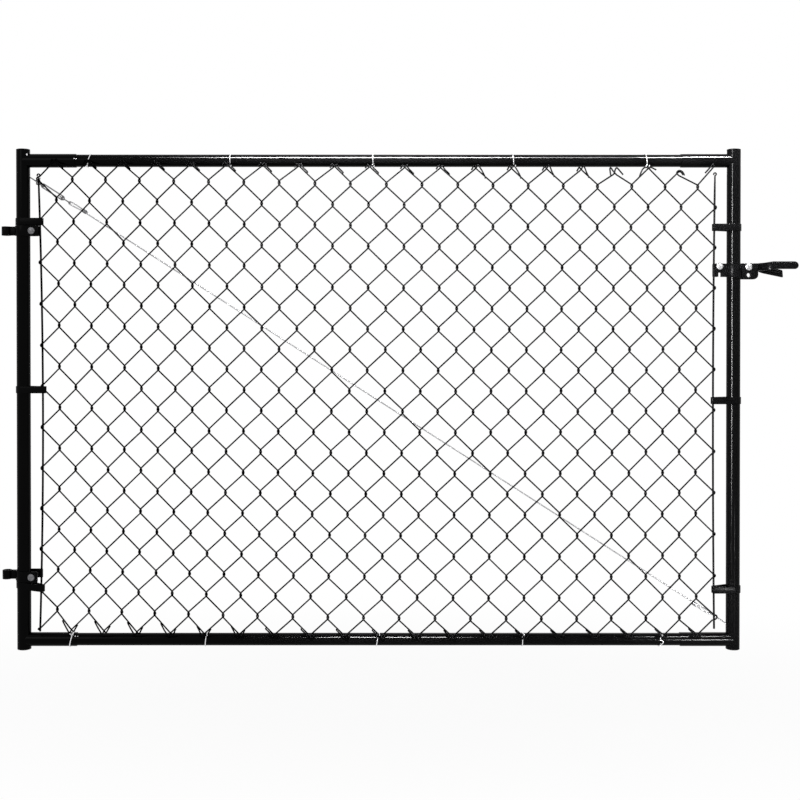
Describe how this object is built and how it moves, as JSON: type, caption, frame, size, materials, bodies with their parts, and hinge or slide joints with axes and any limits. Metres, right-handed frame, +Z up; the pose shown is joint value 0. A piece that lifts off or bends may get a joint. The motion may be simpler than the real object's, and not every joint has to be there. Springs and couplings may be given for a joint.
{
  "type": "chain link gate",
  "caption": "Chain link walk gate leaf: telescoping tube frame, diamond fabric on tension rods, diagonal truss cable with turnbuckle, strap hinges and a lifting fork latch.",
  "frame": {"origin": "on the flat underside of the lower hinge eye, at the middle of its wall on the side away from the leaf, level with the leaf's mid-plane", "axes": "+X along the leaf from the hinges to the latch, +Y away from the side that carries the fabric, +Z up"},
  "size_m": [1.9356, 0.0818, 1.2248],
  "materials": {
    "black_coating": "black polymer coating over galvanised steel, semi-gloss",
    "black_plastic": "moulded black plastic, matte",
    "zinc_steel": "zinc plated, slightly dull",
    "aluminium_wire": "drawn aluminium wire"
  },
  "bodies": {
    "gate_leaf": {"hinge_stile": "black_coating", "latch_stile": "black_coating", "hinge_stile_cap_top": "black_plastic", "hinge_stile_cap_bottom": "black_plastic", "latch_stile_cap_top": "black_plastic", "latch_stile_cap_bottom": "black_plastic", "hinge_stub_top": "black_coating", "hinge_stub_bottom": "black_coating", "latch_stub_top": "black_coating", "latch_stub_bottom": "black_coating", "top_rail": "black_coating", "bottom_rail": "black_coating", "fabric_hinge_side": "black_coating", "fabric_middle": "black_coating", "fabric_latch_side": "black_coating", "hinge_tension_bar": "black_coating", "latch_tension_bar": "black_coating", "hinge_band_top": "black_coating", "hinge_band_middle": "black_coating", "hinge_band_bottom": "black_coating", "latch_band_top": "black_coating", "latch_band_middle": "black_coating", "latch_band_bottom": "black_coating", "tie_top_1": "aluminium_wire", "tie_top_2": "aluminium_wire", "tie_top_3": "aluminium_wire", "tie_top_4": "aluminium_wire", "tie_top_5": "aluminium_wire", "tie_bottom_1": "aluminium_wire", "tie_bottom_2": "aluminium_wire", "tie_bottom_3": "aluminium_wire", "tie_bottom_4": "aluminium_wire", "tie_bottom_5": "aluminium_wire", "hinge_strap_top": "black_coating", "hinge_strap_bottom": "black_coating", "hinge_bolt_top": "zinc_steel", "hinge_bolt_bottom": "zinc_steel", "latch_collar_front": "black_coating", "latch_collar_back": "black_coating", "latch_collar_bolt": "zinc_steel", "latch_pivot_bolt": "zinc_steel", "truss_anchor_hinge": "zinc_steel", "truss_anchor_latch": "zinc_steel", "turnbuckle_body": "zinc_steel", "turnbuckle_hook_upper": "zinc_steel", "turnbuckle_hook_lower": "zinc_steel", "truss_cable": "zinc_steel", "truss_clamp_upper": "zinc_steel", "truss_clamp_lower": "zinc_steel"},
    "fork": {"latch_fork": "black_coating"}
  },
  "joints": [
    {"name": "fork_pivot", "type": "hinge", "parent": "gate_leaf", "child": "fork", "pos_m": [1.8228, 0, 0.7631], "axis": [0, -1, 0], "range_deg": [0, 90]}
  ]
}
